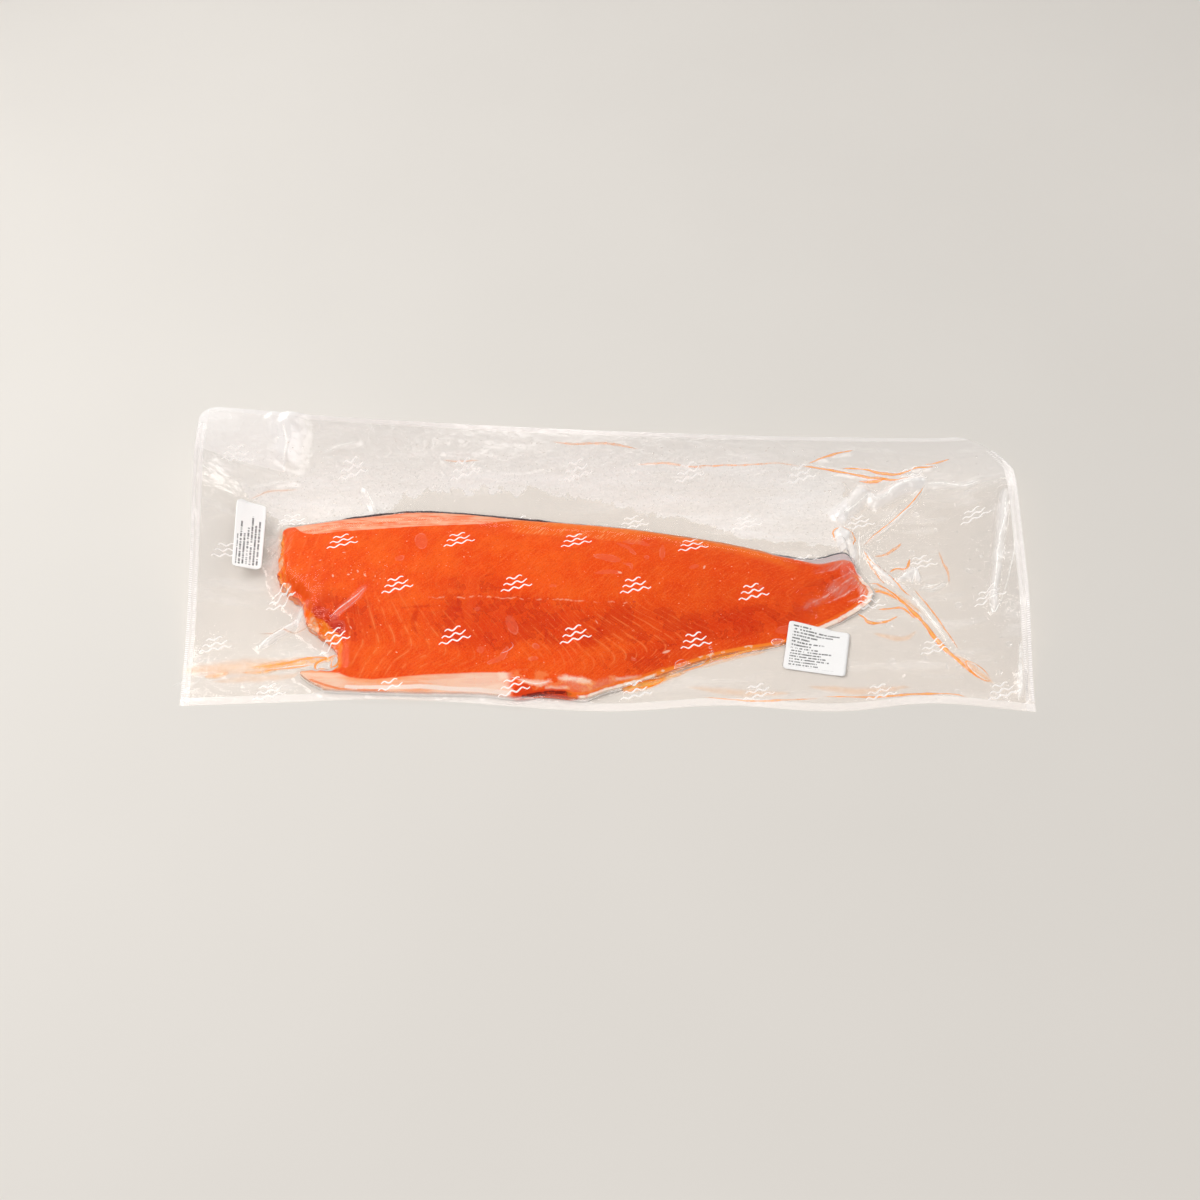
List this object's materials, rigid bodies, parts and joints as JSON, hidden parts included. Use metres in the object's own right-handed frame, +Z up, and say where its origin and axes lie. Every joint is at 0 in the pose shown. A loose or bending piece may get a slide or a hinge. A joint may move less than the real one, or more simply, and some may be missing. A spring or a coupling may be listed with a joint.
{
  "type": "vacuum-packed raw salmon fillet",
  "caption": "Raw salmon side, skin down, sealed in a clear bag whose free film curls up at the back and sides, with plain paper labels on the film.",
  "frame": {"origin": "middle of the bag's outline seen from above, on the surface that it lies on", "axes": "+X along the fillet from its collar end to its tail, +Y from the front hem to the back edge, +Z up"},
  "size_m": [0.664, 0.27, 0.0549],
  "materials": {
    "film": "clear glossy film over orange-red flesh",
    "label": "smooth white label paper"
  },
  "bodies": {
    "root": {"sealed_bag": "film", "label_left": "label", "label_right": "label"}
  },
  "joints": []
}
